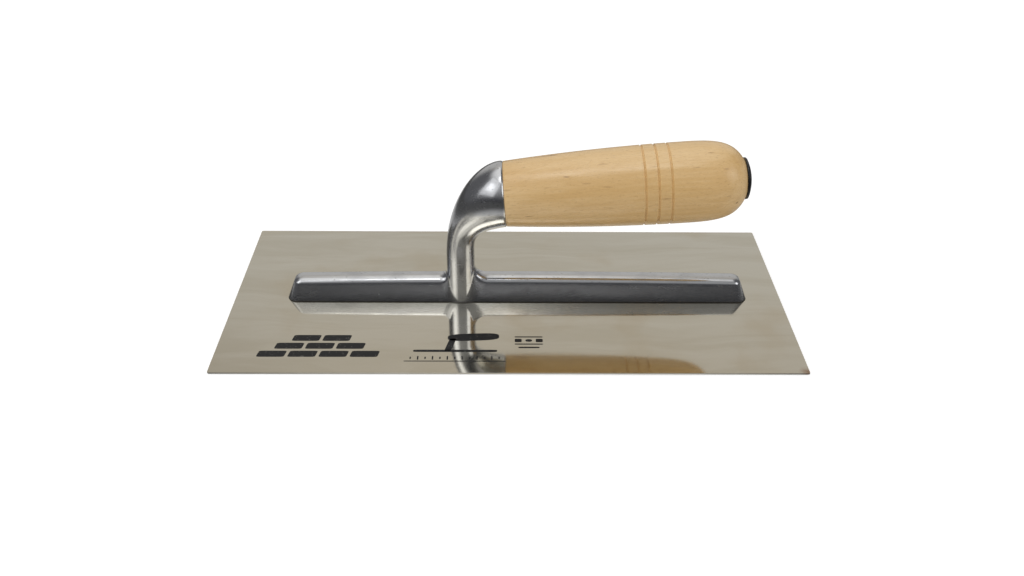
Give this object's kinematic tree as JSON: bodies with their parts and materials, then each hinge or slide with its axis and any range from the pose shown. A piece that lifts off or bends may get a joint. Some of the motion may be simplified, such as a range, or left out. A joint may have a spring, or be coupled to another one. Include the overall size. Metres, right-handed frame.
{
  "type": "finishing trowel",
  "caption": "Rectangular plastering trowel with a thin steel blade riveted to a cast gooseneck mounting and a turned wooden handle held by a long bolt.",
  "frame": {"origin": "centre of the blade's working face, which is the underside that rests on the wall or floor", "axes": "+X along the blade towards the heel of the handle, +Y across the blade, +Z out of the blade towards the handle"},
  "size_m": [0.28, 0.125, 0.087],
  "materials": {
    "blade_steel": "polished stainless steel with faint lengthwise rolling lines",
    "cast_aluminium": "cast and tumble polished, bright on the bends",
    "rivet_aluminium": "ground flush with the blade",
    "beech_wood": "turned, sanded and clear varnished",
    "zinc_steel": "zinc plated",
    "black_plastic": "glossy moulded plastic"
  },
  "bodies": {
    "root": {"blade": "blade_steel", "mounting": "cast_aluminium", "blade_rivet_1": "rivet_aluminium", "blade_rivet_2": "rivet_aluminium", "blade_rivet_3": "rivet_aluminium", "blade_rivet_4": "rivet_aluminium", "blade_rivet_5": "rivet_aluminium", "blade_rivet_6": "rivet_aluminium", "blade_rivet_7": "rivet_aluminium", "blade_rivet_8": "rivet_aluminium", "handle": "beech_wood", "handle_bolt": "zinc_steel", "flat_washer": "zinc_steel", "lock_washer": "zinc_steel", "end_cap": "black_plastic"}
  },
  "joints": []
}
